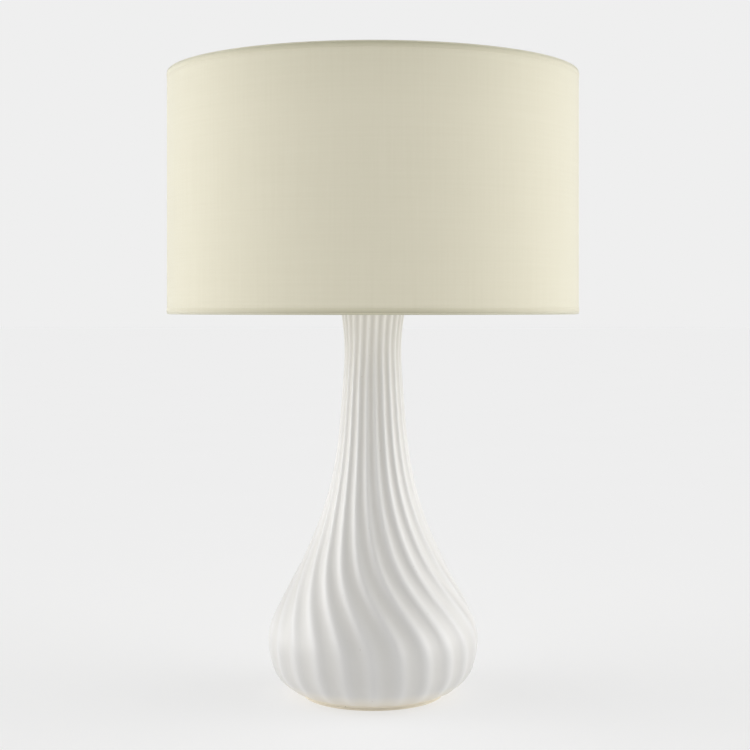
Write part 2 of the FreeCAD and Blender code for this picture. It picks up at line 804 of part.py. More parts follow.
def harp_bail():
    """The sprung wire loop: flattened legs, a bow round the bulb and an eye plate at the top."""
    leg, wide = S.leg_spacing, S.harp_half_width
    out, rise = wide - leg, S.harp_wide - LEG_TOP - 6
    flare = (out * out + rise * rise) / (out * 4)
    half_out, half_rise = (leg + wide) / 2, (S.harp_wide - LEG_TOP + 6) / 2
    # the bow's side arc starts upright at its widest point and meets the top bend where both lean alike
    height = S.harp_apex - S.harp_wide
    bend = S.harp_top_bend
    side = (wide * wide + height * height - height * bend * 2) / (wide - bend) / 2
    drop = height - bend
    inset = side - wide
    join_out = inset * bend / (side - bend)
    join_up = height - bend + drop * bend / (side - bend)
    reach = 6
    level = (bend * bend - reach * reach).root() - bend
    base = S.harp_wide - LEG_TOP
    body = new_body("harp_bail")
    apex = S.harp_apex - LEG_TOP
    plan = new_sketch(body, "XY_Plane", apex - 1.5)
    draw_circle(plan, 0, 0, 9)
    draw_circle(plan, 0, 0, S.shaft_radius + 0.1)
    feature(body, "Pad", plan, Length=3)
    path = [
        (leg, 0), (leg, 6, -flare), (half_out, half_rise, flare), (wide, base, side),
        (join_out, base + join_up, bend), (reach, apex + level),
    ]
    wire = sweep_wire(body, "XY_Plane", path, S.wire_radius)
    plan = new_sketch(body, "XZ_Plane")
    thick = S.leg_thickness / 2
    draw(plan, rectangle(leg - thick, leg + thick, -16, 2))
    flat = feature(body, "Pad", plan, Length=S.leg_width, Midplane=True)
    mirror_across(body, [wire, flat], "YZ_Plane")
    place(body, up=LEG_TOP)


def harp_sleeves():
    """The two sleeves that lock the harp's legs to the saddle's ears."""
    skin = 0.8
    bore, outer = S.sleeve_bore, S.sleeve_bore + skin
    corners = [
        (bore, 0), (outer, 0), (outer, S.sleeve_length - 1.2, 1.2), (outer - 0.5, S.sleeve_length),
        (bore, S.sleeve_length),
    ]
    middle = S.leg_spacing - S.leg_thickness / 2 + 0.3
    for name, side in (("harp_sleeve_left", -1), ("harp_sleeve_right", 1)):
        place(turned(name, corners), up=CROWN + S.shoulder + 0.3, across=middle * side)


def harp_stud():
    """The swivelling stud: a head under the eye plate, a flange for the shade and a thread for the finial."""
    shank, thread = S.shaft_radius, S.stud_radius
    seat, under = S.stud_seat, S.stud_seat - 1.5
    corners = [
        (0, -3.1), (4.2, -3.1), (4.2, -1.6), (shank, -1.6), (shank, 1.6), (4.5, 1.6), (4.5, under),
        (S.stud_flange, under), (S.stud_flange, seat), (thread, seat),
        (thread, 16.5), (thread - 0.5, 17), (0, 17),
    ]
    body = turned("harp_stud", corners)
    thread_groove(body, thread, 6.4, 10)
    place(body, up=S.harp_apex)


# ---- the shade ---------------------------------------------------------------------------------------

def spider_hub():
    hole, rim = S.stud_radius + 2.4, S.hub_radius
    place(turned("spider_hub", rectangle(hole, rim, 0, S.hub_thickness)), up=HUB_LOW)


def ring_height():
    """How far the frame rings' middles lie inside the shade's top and bottom edges."""
    return S.cloth + S.wire_radius + 0.4


def spider_arms():
    """Three wires from the hub up to the top ring."""
    start = S.hub_radius - 6
    low = S.hub_thickness + S.wire_radius - 0.3
    high = SHADE_TOP - ring_height() - HUB_LOW
    for name, angle in (("spider_arm_rear", 90), ("spider_arm_left", 210), ("spider_arm_right", 330)):
        path = [(start, low), (S.hub_radius + 8, low), (S.frame_radius - 1, high)]
        body = new_body(name)
        sweep_wire(body, "YZ_Plane", path, S.wire_radius)
        place(body, up=HUB_LOW, turn=(ABOUT_Z, angle))


def frame_rings():
    """The two wire rings that stretch the shade."""
    for name, up in (("top_ring", SHADE_TOP - ring_height()), ("bottom_ring", S.shade_low + ring_height())):
        ring = doc.addObject("Part::Torus", name)
        bind(ring, "Radius1", S.frame_radius)
        bind(ring, "Radius2", S.wire_radius)
        nodes.append(place(ring, up=up))


def shade_skins():
    """The stiff liner and the fabric laminated to it."""
    gap = S.cloth + 0.2
    height = S.shade_height - gap * 2
    liner = rectangle(S.shade_radius - S.cloth * 2, S.shade_radius - S.cloth, 0, height)
    place(turned("shade_liner", liner), up=S.shade_low + gap)
    fabric = rectangle(S.shade_radius - S.cloth, S.shade_radius, 0, height)
    place(turned("shade_fabric", fabric), up=S.shade_low + gap)


def hem_outline():
    """The cloth folded round a frame ring: short outside, long inside, from the shade's edge inwards."""
    inner, outer = S.frame_radius - S.wire_radius - 0.2, S.shade_radius + S.cloth
    return [
        (inner - S.cloth, 0), (outer, 0), (outer, S.hem_outside), (S.shade_radius, S.hem_outside),
        (S.shade_radius, S.cloth), (inner, S.cloth), (inner, S.hem_inside), (inner - S.cloth, S.hem_inside),
    ]


def hems():
    """The two hems: the top one is the same turned over, and is notched inside for the spider's arms."""
    place(turned("bottom_hem", hem_outline()), up=S.shade_low)
    top = turned("top_hem", hem_outline())
    half = S.wire_radius + 0.5
    corners = rectangle(-half, half, S.frame_radius - 10, S.frame_radius - S.wire_radius)
    notch = cut_to_length(top, "XY_Plane", S.hem_inside, True, corners=corners, lift=S.cloth)
    repeat_around(top, notch, 3)
    place(top, up=SHADE_TOP, turn=TURNED_OVER)


def shade_seam():
    """The lapped seam down the back of the shade."""
    angle = 3.4
    low, high = S.hem_outside + 0.3, S.shade_height - S.hem_outside - 0.3
    body = turned("shade_seam", rectangle(S.shade_radius, S.shade_radius + 0.3, low, high), angle)
    place(body, up=S.shade_low, turn=(ABOUT_Z, 90 - angle / 2))


# ---- the finial --------------------------------------------------------------------------------------

def finial_thread_bush():
    bore = S.stud_radius + 0.125
    place(turned("finial_thread_bush", rectangle(bore, S.stud_radius + 1.4, 0.2, 10.3)), up=HUB_TOP)


def finial_knob():
    """A ball on a short neck and a flat foot, bored for the threaded bush."""
    bore, ball, neck = S.stud_radius + 1.45, S.finial_ball, S.finial_neck
    start = 6.5
    middle = start + (ball * ball - neck * neck).root()
    corners = [
        (bore, 0.2), (7, 0.2), (7, 1.8, 0.8), (6.4, 2.6), (neck, 3.4), (neck, start, ball),
        (ball, middle, ball), (0, middle + ball), (0, 11.6), (bore, 11.6),
    ]
    place(turned("finial_knob", corners), up=HUB_TOP)


felt_pad()
ceramic_body()
cord_bushing()
bottom_gasket()
bottom_plate()
plate_bushing()
bottom_lock_washer()
hex_nut("bottom_nut", S.nut_thickness, plate_low() + S.plate_rise - S.sheet_metal - S.nut_thickness)
lamp_pipe()
pipe_end_bushing()
neck_washer()
neck_cap()
harp_saddle()
hex_nut("saddle_nut", S.jam_nut_thickness, CROWN + S.sheet_metal)
socket_cap()
socket_set_screw()
socket_shell()
socket_insulator()
switch_body()
terminal_screws()
screw_shell()
centre_contact()
switch_shaft()
turn_knob()
bulb_tip_contact()
bulb_insulator()
bulb_screw_base()
bulb_housing()
bulb_led_board()
bulb_diffuser()
harp_bail()
harp_sleeves()
harp_stud()
spider_hub()
spider_arms()
frame_rings()
shade_skins()
hems()
shade_seam()
finial_thread_bush()
finial_knob()
doc.recompute()

for item in doc.Objects:
    if "Invalid" in item.State or "Error" in item.State:
        raise SystemExit(f"{item.Label} failed: {item.State}")
for node in nodes:
    if node.Shape.isNull() or not node.Shape.isValid():
        raise SystemExit(f"{node.Label} has no valid shape")

os.makedirs("parts", exist_ok=True)
for node in nodes:
    node.Shape.exportStep(f"parts/{node.Label}.step")
    print(f"{node.Label}: {len(node.Shape.Solids)} solid, {node.Shape.Volume:.0f} cubic mm")
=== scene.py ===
import json
import math

import bpy
import numpy as np
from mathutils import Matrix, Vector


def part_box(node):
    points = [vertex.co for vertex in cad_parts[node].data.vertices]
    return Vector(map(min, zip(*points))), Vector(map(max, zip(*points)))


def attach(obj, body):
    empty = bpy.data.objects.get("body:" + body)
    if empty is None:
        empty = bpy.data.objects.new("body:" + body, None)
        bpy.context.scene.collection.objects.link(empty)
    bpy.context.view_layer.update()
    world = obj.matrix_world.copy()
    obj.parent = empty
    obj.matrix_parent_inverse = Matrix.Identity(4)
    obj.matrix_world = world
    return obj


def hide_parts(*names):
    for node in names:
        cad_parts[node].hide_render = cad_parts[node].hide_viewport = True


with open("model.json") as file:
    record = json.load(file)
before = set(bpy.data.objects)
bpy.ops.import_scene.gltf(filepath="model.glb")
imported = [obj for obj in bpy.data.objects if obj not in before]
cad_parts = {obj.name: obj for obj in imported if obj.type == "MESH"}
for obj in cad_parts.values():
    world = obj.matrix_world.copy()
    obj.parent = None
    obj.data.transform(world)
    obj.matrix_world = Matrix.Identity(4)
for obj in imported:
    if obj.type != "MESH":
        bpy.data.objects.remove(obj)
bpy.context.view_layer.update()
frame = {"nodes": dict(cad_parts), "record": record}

# A table lamp with a drum shade. The jar, the shade's cloth, its hems and its seam are meshes made here;
# everything else is the CAD frame with detailed materials. Lengths are metres.

MM = 0.001
FULL_TURN = 2 * math.pi

FLUTES = 24
COLUMNS_PER_FLUTE = 18
CREST_SHARPNESS = 0.12
FLUTE_DEPTH = 2.2 * MM
FLUTE_TWIST = math.radians(46)
JAR_WALL = 6 * MM
FOOT_GAP = 0.5 * MM              # between the jar and the felt pad or the gasket in its foot
FOOT_FADE = 17 * MM              # how far the bare clay's colour shows up from the foot
INLET_RIM = 1.8 * MM             # how far the cord's bushing stands out of its spot face

# heights between which the glaze's painted light up the neck and painted shade in the flutes change; the
# painted shade low on the belly starts, is full, starts to fade and is gone
PAINTED_NECK_LIGHT = (315 * MM, 375 * MM)
PAINTED_FLUTE_SHADE = (210 * MM, 380 * MM)
PAINTED_BELLY_SHADE = (12 * MM, 22 * MM, 30 * MM, 70 * MM)

AROUND = 512                     # columns round the shade and its hems
CLOTH_THICKNESS = 0.4 * MM
THREAD = 0.5 * MM                # from one thread of the shade's cloth to the next
FRAME_WIRE = 3.2 * MM            # the thickness of the shade's frame rings
HEM_SLACK = 0.6 * MM             # between a frame ring and the cloth folded round it
FOLD_REACH = 9 * MM              # how far the hems' painted shade spreads over the cloth
TOP_REACH = 60 * MM              # how far a fainter painted shade spreads down from the top
SEAM_PROUD = 0.3 * MM            # how far the lap stands out of the cloth

LINER_PAINTED_GLOW = 0.19
FLOOR_GLOW = 0.525
BACKDROP = 0.863                 # the grey seen behind the lamp

# the light tent: its own grey, and its strength from the sides, from above and all round
TENT_GREY = 0.8
SIDE_LIGHT = 5.2
TOP_LIGHT = 0.6
FILL_LIGHT = 0.08

# The rings of the jar's outside: height as a share of the jar's top, crest radius as a share of the
# belly's, turn as a share of the twist, and flute depth as a share of the greatest depth.
JAR_RINGS = (
    (0.014, 0.742, 1.0, 0.67),
    (0.026, 0.815, 1.0, 0.83),
    (0.043, 0.886, 0.998, 0.83),
    (0.069, 0.953, 0.991, 0.83),
    (0.102, 0.989, 0.978, 0.83),
    (0.143, 1.0, 0.957, 0.83),
    (0.194, 0.956, 0.872, 0.92),
    (0.255, 0.841, 0.687, 1.0),
    (0.332, 0.688, 0.452, 1.0),
    (0.408, 0.556, 0.304, 0.88),
    (0.51, 0.427, 0.176, 0.75),
    (0.638, 0.335, 0.109, 0.63),
    (0.765, 0.293, 0.085, 0.54),
    (0.88, 0.274, 0.109, 0.5),
    (0.959, 0.303, 0.163, 0.5),
    (1.0, 0.328, 0.185, 0.46),
)


# ---- mesh helpers ------------------------------------------------------------------------------------

def grid_object(name, points, close_rows):
    """A smooth closed mesh from rings of points: the last ring joins the first, or both ends are capped."""
    rows, columns = points.shape[:2]
    across = np.arange(columns)
    following = (across + 1) % columns
    faces = []
    for row in range(rows if close_rows else rows - 1):
        here, above = row * columns, ((row + 1) % rows) * columns
        quads = np.stack([here + across, here + following, above + following, above + across], 1)
        faces += quads.tolist()
    if not close_rows:
        faces += [across[::-1].tolist(), (across + (rows - 1) * columns).tolist()]
    mesh = bpy.data.meshes.new(name)
    mesh.from_pydata(points.reshape(-1, 3).tolist(), [], faces)
    mesh.shade_smooth()
    made = bpy.data.objects.new(name, mesh)
    bpy.context.scene.collection.objects.link(made)
    return made


def swept_round(name, outline, wobble, seed):
    """A closed outline of (radius, height) points carried round the Z axis, with a slight waviness."""
    angles = np.linspace(0, FULL_TURN, AROUND, endpoint=False)
    draw = np.random.default_rng(seed)
    waves = sum(np.sin(order * angles + draw.uniform(0, FULL_TURN)) / order for order in (3, 5, 8, 13))
    outline = np.array(outline)
    radius = outline[:, :1] + wobble * waves
    height = np.broadcast_to(outline[:, 1:], radius.shape)
    points = np.stack([radius * np.cos(angles), radius * np.sin(angles), height], -1)
    return grid_object(name, points, close_rows=True)


def rounded(corners):
    """A closed outline with each corner (radius, height, bend) rounded by its own bend."""
    made = []
    count = len(corners)
    for index, (x, y, bend) in enumerate(corners):
        here = np.array([x, y])
        before = np.array(corners[index - 1][:2]) - here
        after = np.array(corners[(index + 1) % count][:2]) - here
        reach_before = min(bend, np.linalg.norm(before) / 2)
        reach_after = min(bend, np.linalg.norm(after) / 2)
        start = here + before / np.linalg.norm(before) * reach_before
        end = here + after / np.linalg.norm(after) * reach_after
        for share in np.linspace(0, 1, 5):
            made.append((1 - share) ** 2 * start + 2 * share * (1 - share) * here + share ** 2 * end)
    return np.array(made)


def spline(known_at, known, wanted_at):
    """A natural cubic spline through the known values, read at the wanted places."""
    gaps = np.diff(known_at)
    count = len(known_at)
    matrix = np.eye(count)
    right = np.zeros(count)
    for i in range(1, count - 1):
        matrix[i, i - 1:i + 2] = gaps[i - 1], 2 * (gaps[i - 1] + gaps[i]), gaps[i]
        right[i] = 6 * ((known[i + 1] - known[i]) / gaps[i] - (known[i] - known[i - 1]) / gaps[i - 1])
    bend = np.linalg.solve(matrix, right)
    i = np.clip(np.searchsorted(known_at, wanted_at) - 1, 0, count - 2)
    left, after, gap = wanted_at - known_at[i], known_at[i + 1] - wanted_at, gaps[i]
    return (
        (bend[i] * after ** 3 + bend[i + 1] * left ** 3) / (6 * gap)
        + (known[i] / gap - bend[i] * gap / 6) * after
        + (known[i + 1] / gap - bend[i + 1] * gap / 6) * left
    )


# ---- shader helpers ----------------------------------------------------------------------------------

class Nodes:
    """A node tree, built a node at a time."""

    def __init__(self, tree):
        self.tree = tree

    def put(self, socket, value):
        """Link an output to the socket, or set the socket's own value."""
        if isinstance(value, bpy.types.NodeSocket):
            self.tree.links.new(value, socket)
        else:
            socket.default_value = value

    def node(self, kind, inputs=None, output=0, **settings):
        """Add a node and return one of its outputs; inputs maps socket names or numbers to values."""
        made = self.tree.nodes.new(f"ShaderNode{kind}")
        for key, value in settings.items():
            setattr(made, key, value)
        for key, value in (inputs or {}).items():
            self.put(made.inputs[key], value)
        return made.outputs[output]

    def math(self, operation, first, second=0.0):
        return self.node("Math", {0: first, 1: second}, operation=operation)

    def axes(self, vector):
        """The X, Y and Z of a vector."""
        return tuple(self.node("SeparateXYZ", {0: vector}).node.outputs)


class Shader(Nodes):
    """A node material, built around one Principled shader."""

    def __init__(self, name, **settings):
        self.material = bpy.data.materials.new(name)
        self.material.use_nodes = True
        super().__init__(self.material.node_tree)
        self.surface = self.tree.nodes["Principled BSDF"]
        for key, value in settings.items():
            self.set(key, value)

    def set(self, name, value):
        """Set a socket of the Principled shader, written with underscores for its spaces."""
        self.put(self.surface.inputs[name.replace("_", " ")], value)

    def place(self, scale=(1, 1, 1)):
        """Object coordinates in metres, stretched by a scale."""
        where = self.node("TexCoord", output="Object")
        return self.node("Mapping", {"Vector": where, "Scale": scale})

    def round_place(self, radius, scale=(1, 1)):
        """A place unrolled from round the Z axis: the way round as X and the height as Y, each scaled."""
        x, y, z = self.axes(self.node("TexCoord", output="Object"))
        way = self.math("MULTIPLY", self.math("ARCTAN2", y, x), radius * scale[0])
        return self.node("CombineXYZ", {"X": way, "Y": self.math("MULTIPLY", z, scale[1])})

    def noise(self, vector, scale, detail=3.0, roughness=0.5, distortion=0.0):
        inputs = {
            "Vector": vector, "Scale": scale, "Detail": detail, "Roughness": roughness,
            "Distortion": distortion,
        }
        return self.node("TexNoise", inputs, output="Fac")

    def between(self, value, low, high, start=0.0, end=1.0, **settings):
        """The value moved from its range of start to end into a range of low to high."""
        inputs = {"Value": value, "From Min": start, "From Max": end, "To Min": low, "To Max": high}
        return self.node("MapRange", inputs, **settings)

    def eased(self, value, start, end):
        """0 at the start, 1 at the end, with a soft beginning and end."""
        return self.between(value, 0.0, 1.0, start, end, interpolation_type="SMOOTHSTEP")

    def mix(self, share, first, second):
        """A colour between two colours."""
        made = self.node("Mix", data_type="RGBA").node
        for name, value in (("Factor", share), ("A", first), ("B", second)):
            self.put(next(s for s in made.inputs if s.name == name and s.enabled), value)
        return next(s for s in made.outputs if s.enabled)

    def bump(self, height, distance, strength, normal=None):
        """A bumped normal, on top of another bump's normal if one is given."""
        inputs = {"Height": height, "Distance": distance, "Strength": strength}
        if normal is not None:
            inputs["Normal"] = normal
        return self.node("Bump", inputs)


def colour(red, green, blue):
    return (red, green, blue, 1.0)


def grey(level):
    return colour(level, level, level)


# ---- materials ---------------------------------------------------------------------------------------

CLOTH_PALE = colour(0.803, 0.762, 0.606)
CLOTH_DEEP = colour(0.773, 0.731, 0.574)
# the colour of the painted shade at the cloth's folds
FOLD_PAINTED_SHADE_COLOUR = colour(0.41, 0.39, 0.255)


def glaze_colour(shader, where, foot):
    """Clouded off-white, with painted light up the neck, painted shade in the flutes and low on the belly,
    and clay at the foot.
    """
    height = shader.axes(where)[2]
    painted_flute_shade = shader.node("Attribute", output="Fac", attribute_name="painted_flute_shade")
    cloud = shader.noise(where, 14.0, 4.0)
    pale = shader.mix(cloud, colour(0.745, 0.74, 0.727), colour(0.705, 0.698, 0.682))
    # painted light: the glaze turns lighter and warmer up the neck, as if lit from the shade above it
    glaze_with_neck_light = shader.mix(shader.between(height, 0.0, 1.0, *PAINTED_NECK_LIGHT), pale, colour(0.9, 0.885, 0.84))
    # painted shade: the glaze darkens down in the flutes, and more so higher up the jar
    depth = shader.between(height, 0.32, 0.8, *PAINTED_FLUTE_SHADE)
    glaze_with_flute_shade = shader.mix(shader.math("MULTIPLY", painted_flute_shade, depth), glaze_with_neck_light, colour(0.61, 0.59, 0.54))
    # painted shade: a greyer band low on the belly, under its widest part
    start, full, fading, gone = PAINTED_BELLY_SHADE
    belly_shade_band = shader.math("MULTIPLY", shader.eased(height, start, full), shader.eased(height, gone, fading))
    glaze_with_belly_shade = shader.mix(shader.math("MULTIPLY", belly_shade_band, 0.18), glaze_with_flute_shade, colour(0.50, 0.485, 0.465))
    grain = shader.between(shader.noise(where, 900.0, 2.0), 0.5, 1.0)
    return shader.mix(shader.math("MULTIPLY", foot, grain), glaze_with_belly_shade, colour(0.82, 0.73, 0.565))


def iron_specks(shader, where, foot):
    """How strong the few small iron specks are: most of all at the foot, and 0 between them."""
    cells = shader.node("TexVoronoi", {"Vector": where, "Scale": 260.0}, output="Distance")
    size = shader.between(shader.noise(where, 130.0, 0.0), 0.0, 0.16, 0.66, 0.80)
    return shader.math("MULTIPLY", shader.math("LESS_THAN", cells, size), shader.between(foot, 0.25, 0.9))


def glaze_material():
    """A satin off-white glaze with a few iron specks, gently rippled and finely pitted."""
    shader = Shader("glaze", IOR=1.52, Coat_Weight=0.2, Coat_Roughness=0.25)
    where = shader.place()
    foot = shader.node("Attribute", output="Fac", attribute_name="foot")
    specks = iron_specks(shader, where, foot)
    shader.set("Base_Color", shader.mix(specks, glaze_colour(shader, where, foot), colour(0.30, 0.24, 0.17)))
    shader.set("Roughness", shader.between(shader.noise(where, 60.0, 4.0), 0.40, 0.52))
    ripple = shader.bump(shader.noise(where, 95.0, 2.0), 0.25 * MM, 0.5)
    shader.set("Normal", shader.bump(shader.noise(where, 1400.0, 1.0), 0.03 * MM, 0.35, ripple))
    return shader.material


def weave(shader, flat):
    """Crossing threads that lean a little this way and that, from -1 to 1."""
    around, up, _ = shader.axes(flat)
    lean = shader.math("MULTIPLY", shader.noise(flat, 40.0, 1.0), 2.5)
    warp, weft = (
        shader.math("SINE", shader.math("ADD", shader.math("MULTIPLY", way, FULL_TURN / THREAD), lean))
        for way in (around, up)
    )
    return shader.math("MULTIPLY", warp, weft)


def painted_fold_shade(shader, flat, painted_edge_shade):
    """Painted shade on the cloth: darker towards the folds round the frame rings, where the cloth lies
    double, and a fainter painted shade spreads down from the top. Both are painted strongest at the front
    and back, and weakest at the sides, where the studio light falls."""
    low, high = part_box("shade_fabric")
    up = shader.axes(flat)[1]
    middle = (low.z + high.z) / 2
    reach = high.z - middle
    from_middle = shader.math("ABSOLUTE", shader.math("SUBTRACT", up, middle))
    near_fold = shader.math("POWER", shader.between(from_middle, 0.0, 1.0, reach - FOLD_REACH, reach), 1.6)
    near_top = shader.between(up, 0.0, 0.13, high.z - TOP_REACH, high.z)
    shade = shader.math("ADD", near_top, shader.math("MULTIPLY", near_fold, painted_edge_shade))
    y = shader.axes(shader.place())[1]
    # painted shade is kept whole at the front and back and mostly taken off at the sides, where the light
    # falls
    shade_kept_front_and_back = shader.between(shader.math("MULTIPLY", y, y), 0.12, 1.0, 0.0, high.y ** 2)
    return shader.math("MULTIPLY", shade, shade_kept_front_and_back)


def cloth_material(name, painted_edge_shade):
    """Plain woven cloth on a stiff backing: crossing threads, faint slubs and clouding, and painted shade at
    its folds.
    """
    shader = Shader(
        name, Sheen_Weight=0.4, Sheen_Roughness=0.5, Sheen_Tint=colour(0.95, 1.0, 1.0),
        Specular_IOR_Level=0.25)
    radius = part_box("shade_fabric")[1].x
    flat = shader.round_place(radius)
    warp_slub, weft_slub = (
        shader.noise(shader.round_place(radius, scale), 1.0, 2.0) for scale in ((420.0, 9.0), (9.0, 420.0))
    )
    slubs = shader.math("ADD", warp_slub, weft_slub)
    woven = weave(shader, flat)
    cloud = shader.between(shader.noise(flat, 9.0, 3.0), 0.0, 0.3)
    tone = shader.math("ADD", shader.between(slubs, 0.0, 0.6, 0.7, 1.3), cloud)
    thready = shader.math("ADD", tone, shader.between(woven, -0.1, 0.1, -1.0, 1.0))
    cloth = shader.mix(thready, CLOTH_PALE, CLOTH_DEEP)
    shader.set("Base_Color", shader.mix(painted_fold_shade(shader, flat, painted_edge_shade), cloth, FOLD_PAINTED_SHADE_COLOUR))
    shader.set("Roughness", shader.between(slubs, 0.82, 0.95, 0.7, 1.3))
    coarse = shader.bump(slubs, 0.04 * MM, 0.3)
    shader.set("Normal", shader.bump(woven, 0.08 * MM, 0.4, coarse))
    return shader.material


def liner_material():
    """Milky styrene, very slightly streaked by its rolling, with a painted glow that stands in for room
    light coming through it.
    """
    # painted light: the liner glows as if lit through the cloth, though it is no lamp
    shader = Shader(
        "liner", Specular_IOR_Level=0.4, Emission_Color=colour(1.0, 0.95, 0.82),
        Emission_Strength=LINER_PAINTED_GLOW)
    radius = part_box("shade_liner")[1].x
    streak = shader.noise(shader.round_place(radius, (60.0, 4.0)), 1.0, 3.0)
    shader.set("Base_Color", shader.mix(streak, colour(0.86, 0.85, 0.80), colour(0.82, 0.80, 0.74)))
    shader.set("Roughness", shader.between(streak, 0.42, 0.6))
    shader.set("Normal", shader.bump(shader.noise(shader.place(), 700.0, 2.0), 0.03 * MM, 0.4))
    return shader.material


def metal_material(name, bright, dull, smooth, rough, stretch=(1, 1, 0.05)):
    """Plated metal: tarnish clouds, and fine marks that follow the way it was made."""
    shader = Shader(name, Metallic=1.0)
    cloud = shader.noise(shader.place(), 55.0, 4.0, 0.6)
    fine = shader.noise(shader.place(stretch), 900.0, 3.0, 0.6)
    tarnish = shader.math("MULTIPLY", cloud, shader.between(fine, 0.6, 1.0))
    shader.set("Base_Color", shader.mix(shader.between(tarnish, 0.0, 1.0, 0.25, 0.65), bright, dull))
    shader.set("Roughness", shader.between(shader.math("ADD", cloud, fine), smooth, rough, 0.7, 1.3))
    shader.set("Normal", shader.bump(fine, 0.02 * MM, 0.3))
    return shader.material


def zinc_material():
    """Zinc plate: grey crystals of slightly different tone."""
    shader = Shader("zinc_steel", Metallic=1.0)
    where = shader.place()
    cells = shader.node("TexVoronoi", {"Vector": where, "Scale": 320.0}, output="Color")
    tone = shader.node("SeparateColor", {0: cells}, output="Red")
    fine = shader.noise(where, 1500.0, 2.0)
    shader.set("Base_Color", shader.mix(tone, colour(0.62, 0.63, 0.65), colour(0.50, 0.51, 0.52)))
    shader.set("Roughness", shader.between(shader.math("ADD", tone, fine), 0.26, 0.44, 0.4, 1.5))
    shader.set("Normal", shader.bump(fine, 0.02 * MM, 0.3))
    return shader.material


def moulded_material(name, pale, deep, smooth, rough, grain=1200.0, depth=0.03 * MM, **settings):
    """A moulded or painted surface with a fine texture and slight mottling."""
    shader = Shader(name, **settings)
    where = shader.place()
    mottle = shader.noise(where, 70.0, 3.0)
    fine = shader.noise(where, grain, 2.0)
    shader.set("Base_Color", shader.mix(mottle, pale, deep))
    shader.set("Roughness", shader.between(mottle, smooth, rough, 0.3, 0.7))
    shader.set("Normal", shader.bump(fine, depth, 0.4))
    return shader.material


def fibre_material(name, pale, deep, scale, depth):
    """Pressed fibres, as in felt or card: short tangled strands."""
    shader = Shader(name, Roughness=0.95, Sheen_Weight=0.3, Sheen_Roughness=0.6, Specular_IOR_Level=0.15)
    where = shader.place()
    strands = shader.noise(where, scale, 5.0, 0.7, 1.8)
    cloud = shader.noise(where, scale / 12, 2.0)
    tangle = shader.math("MULTIPLY", strands, shader.between(cloud, 0.7, 1.3))
    shader.set("Base_Color", shader.mix(tangle, pale, deep))
    shader.set("Normal", shader.bump(strands, depth, 0.7))
    return shader.material


MATERIALS = {
    "glaze": glaze_material(),
    "felt": fibre_material("felt", colour(0.80, 0.74, 0.61), colour(0.68, 0.61, 0.48), 1100.0, 0.3 * MM),
    "rubber_seal": moulded_material("rubber_seal", grey(0.05), grey(0.03), 0.6, 0.8),
    "insulating_bush": moulded_material("insulating_bush", grey(0.06), grey(0.035), 0.35, 0.5),
    "zinc_steel": zinc_material(),
    "brass": metal_material("brass", colour(0.80, 0.60, 0.30), colour(0.62, 0.43, 0.19), 0.22, 0.38),
    "polished_brass": metal_material(
        "polished_brass", colour(0.86, 0.67, 0.36), colour(0.74, 0.54, 0.26), 0.10, 0.20),
    "card": fibre_material("card", colour(0.34, 0.25, 0.16), colour(0.20, 0.14, 0.08), 500.0, 0.08 * MM),
    "phenolic": moulded_material(
        "phenolic", colour(0.05, 0.04, 0.04), colour(0.025, 0.02, 0.02), 0.2, 0.35),
    "knob": moulded_material("knob", colour(0.04, 0.035, 0.035), colour(0.02, 0.018, 0.018), 0.22, 0.34),
    "bulb_white": moulded_material(
        "bulb_white", colour(0.86, 0.86, 0.84), colour(0.80, 0.80, 0.77), 0.25, 0.35),
    "bulb_opal": moulded_material(
        "bulb_opal", colour(0.88, 0.88, 0.86), colour(0.84, 0.84, 0.81), 0.42, 0.55,
        Subsurface_Weight=0.4, Subsurface_Scale=4 * MM, Subsurface_Radius=(1.0, 1.0, 1.0)),
    "bulb_base": metal_material(
        "bulb_base", colour(0.74, 0.74, 0.73), colour(0.60, 0.60, 0.58), 0.2, 0.34),
    "bulb_glass": moulded_material("bulb_glass", colour(0.03, 0.03, 0.035), grey(0.02), 0.06, 0.12),
    "solder": metal_material(
        "solder", colour(0.66, 0.65, 0.62), colour(0.50, 0.49, 0.46), 0.35, 0.5, stretch=(1, 1, 1)),
    "board": moulded_material("board", colour(0.82, 0.83, 0.80), colour(0.76, 0.77, 0.74), 0.35, 0.5),
    "frame_wire": moulded_material(
        "frame_wire", colour(0.80, 0.79, 0.75), colour(0.74, 0.73, 0.69), 0.35, 0.5, 700.0, 0.08 * MM),
    "liner": liner_material(),
    "shade_cloth": cloth_material("shade_cloth", painted_edge_shade=0.08),
    "hem_cloth": cloth_material("hem_cloth", painted_edge_shade=0.82),
}


def paint_frame():
    """Give each CAD node the material of its slot in the record."""
    for part in frame["record"]["subparts"]:
        mesh = frame["nodes"][part["node"]].data
        mesh.materials.clear()
        mesh.materials.append(MATERIALS[part["material_slot"]])


def finish_piece(piece, slot, body, node):
    """Give a piece the material of its slot, attach it to its body, and hide the CAD node that it takes the
    place of.
    """
    piece.data.materials.append(MATERIALS[slot])
    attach(piece, body)
    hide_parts(node)
    return piece


# ---- the ceramic jar ---------------------------------------------------------------------------------

def jar_sizes(heights):
    """Crest radius, turn and flute depth of the jar's outside at each height."""
    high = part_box("ceramic_body")[1]
    at, radius, turn, depth = np.array(JAR_RINGS).T
    share = heights / high.z
    return (
        spline(at, radius, share) * high.x,
        spline(at, turn, share) * FLUTE_TWIST,
        spline(at, depth, share) * FLUTE_DEPTH,
    )


